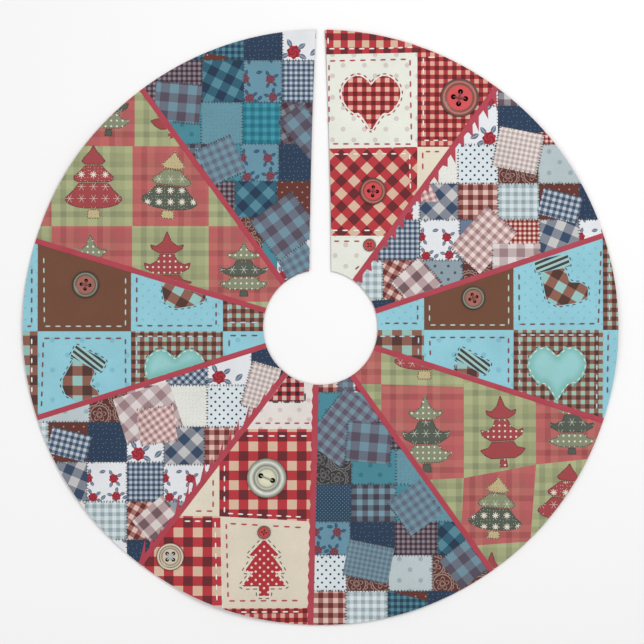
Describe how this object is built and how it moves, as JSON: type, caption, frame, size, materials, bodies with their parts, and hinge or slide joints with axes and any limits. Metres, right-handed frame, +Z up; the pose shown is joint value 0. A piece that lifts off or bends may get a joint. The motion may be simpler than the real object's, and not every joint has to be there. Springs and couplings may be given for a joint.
{
  "type": "tree skirt",
  "caption": "Round patchwork Christmas tree skirt with a neck opening, a slit to the rim, ribboned seams, sewn patches, buttons and hidden closing tabs.",
  "frame": {"origin": "centre of the neck opening, at floor level", "axes": "+Z up out of the patchwork side, +Y from the neck opening along the middle of the slit, +X to the right of the slit seen from above"},
  "size_m": [1.118, 1.1179, 0.0064],
  "materials": {
    "cotton_red_cream": "woven cotton, red gingham and cream",
    "cotton_navy_patchwork": "woven cotton, navy and white prints",
    "cotton_blue_brown": "woven cotton, pale blue and brown",
    "cotton_tree_plaid": "woven cotton, red and green plaid",
    "cotton_teal_patchwork": "woven cotton, teal and navy prints",
    "lining_cotton": "plain woven cotton",
    "red_ribbon": "grosgrain ribbon",
    "patch_navy": "woven cotton",
    "patch_teal": "woven cotton",
    "patch_red": "woven cotton",
    "heart_red": "small gingham cotton",
    "heart_teal": "felted cotton",
    "stocking_cotton": "woven cotton check",
    "tree_cotton": "woven cotton check",
    "tree_red": "dotted cotton",
    "button_red": "moulded, satin",
    "button_brown": "moulded, satin",
    "button_cream": "moulded, satin",
    "tab_webbing": "plain woven cotton",
    "hook_tape": "hook side of hook-and-loop tape",
    "loop_tape": "loop side of hook-and-loop tape"
  },
  "bodies": {
    "front_right": {"gore_04_face": "cotton_tree_plaid", "gore_04_lining": "lining_cotton", "gore_04_trees": "tree_cotton", "gore_05_face": "cotton_teal_patchwork", "gore_05_lining": "lining_cotton", "gore_05_loose_patches": "patch_teal", "seam_03_ribbon": "red_ribbon", "seam_04_ribbon": "red_ribbon", "seam_05_ribbon": "red_ribbon"},
    "front_left": {"gore_06_face": "cotton_red_cream", "gore_06_lining": "lining_cotton", "gore_06_tree": "tree_red", "gore_06_loose_patches": "patch_red", "gore_07_face": "cotton_navy_patchwork", "gore_07_lining": "lining_cotton", "gore_07_loose_patches": "patch_navy", "seam_06_ribbon": "red_ribbon", "seam_07_ribbon": "red_ribbon", "two_hole_cream_button": "button_cream", "four_hole_cream_button": "button_cream", "tree_top_button": "button_red"},
    "right_side": {"gore_03_face": "cotton_blue_brown", "gore_03_lining": "lining_cotton", "gore_03_heart": "heart_teal", "gore_03_stockings": "stocking_cotton", "right_brown_button": "button_brown", "seam_02_ribbon": "red_ribbon"},
    "right_back": {"gore_02_face": "cotton_navy_patchwork", "gore_02_lining": "lining_cotton", "gore_02_loose_patches": "patch_navy", "seam_01_ribbon": "red_ribbon"},
    "right_flap": {"gore_01_face": "cotton_red_cream", "gore_01_lining": "lining_cotton", "gore_01_heart": "heart_red", "large_red_button": "button_red", "middle_red_button": "button_red", "small_red_button": "button_red", "loop_patches": "loop_tape"},
    "left_side": {"gore_08_face": "cotton_blue_brown", "gore_08_lining": "lining_cotton", "gore_08_heart": "heart_teal", "gore_08_stockings": "stocking_cotton", "left_brown_button": "button_brown", "seam_08_ribbon": "red_ribbon"},
    "left_back": {"gore_09_face": "cotton_tree_plaid", "gore_09_lining": "lining_cotton", "gore_09_trees": "tree_cotton", "seam_09_ribbon": "red_ribbon"},
    "left_flap": {"gore_10_face": "cotton_teal_patchwork", "gore_10_lining": "lining_cotton", "gore_10_loose_patches": "patch_teal"},
    "tab_1": {"tab_1_strap": "tab_webbing", "tab_1_hooks": "hook_tape"},
    "tab_2": {"tab_2_strap": "tab_webbing", "tab_2_hooks": "hook_tape"},
    "tab_3": {"tab_3_strap": "tab_webbing", "tab_3_hooks": "hook_tape"}
  },
  "joints": [
    {"name": "half_fold", "type": "hinge", "parent": "front_right", "child": "front_left", "pos_m": [-0.00847, -0.10767, 0.004], "axis": [-0.0223, -0.9998, 0], "range_deg": [-170, 0], "deforming": ["seam_05_ribbon"]},
    {"name": "right_side_fold", "type": "hinge", "parent": "front_right", "child": "right_side", "pos_m": [0.10109, -0.038, 0.004], "axis": [0.9524, -0.3049, 0], "range_deg": [0, 150], "deforming": ["seam_03_ribbon"]},
    {"name": "right_back_fold", "type": "hinge", "parent": "right_side", "child": "right_back", "pos_m": [0.10361, 0.03049, 0], "axis": [0.949, 0.3154, 0], "range_deg": [-150, 0], "deforming": ["seam_02_ribbon"]},
    {"name": "right_flap_fold", "type": "hinge", "parent": "right_back", "child": "right_flap", "pos_m": [0.06409, 0.08693, 0.004], "axis": [0.5917, 0.8062, 0], "range_deg": [0, 160], "deforming": ["seam_01_ribbon"]},
    {"name": "left_side_fold", "type": "hinge", "parent": "front_left", "child": "left_side", "pos_m": [-0.10242, -0.03427, 0.004], "axis": [0.9537, 0.3008, 0], "range_deg": [0, 150], "deforming": ["seam_07_ribbon"]},
    {"name": "left_back_fold", "type": "hinge", "parent": "left_side", "child": "left_back", "pos_m": [-0.10334, 0.0314, 0], "axis": [0.9568, -0.2907, 0], "range_deg": [-150, 0], "deforming": ["seam_08_ribbon"]},
    {"name": "left_flap_fold", "type": "hinge", "parent": "left_back", "child": "left_flap", "pos_m": [-0.06942, 0.08273, 0.004], "axis": [0.59, -0.8074, 0], "range_deg": [0, 160], "deforming": ["seam_09_ribbon"]},
    {"name": "tab_1_swing", "type": "hinge", "parent": "left_flap", "child": "tab_1", "pos_m": [-0.02159, 0.16, 0.0009], "axis": [0, -1, 0], "range_deg": [0, 180]},
    {"name": "tab_2_swing", "type": "hinge", "parent": "left_flap", "child": "tab_2", "pos_m": [-0.01846, 0.335, 0.0009], "axis": [0, -1, 0], "range_deg": [0, 180]},
    {"name": "tab_3_swing", "type": "hinge", "parent": "left_flap", "child": "tab_3", "pos_m": [-0.01262, 0.51, 0.0009], "axis": [0, -1, 0], "range_deg": [0, 180]}
  ],
  "couplings": [
    {"joint": "right_back_fold", "follows": "right_side_fold", "ratio": -1},
    {"joint": "left_back_fold", "follows": "left_side_fold", "ratio": -1}
  ]
}
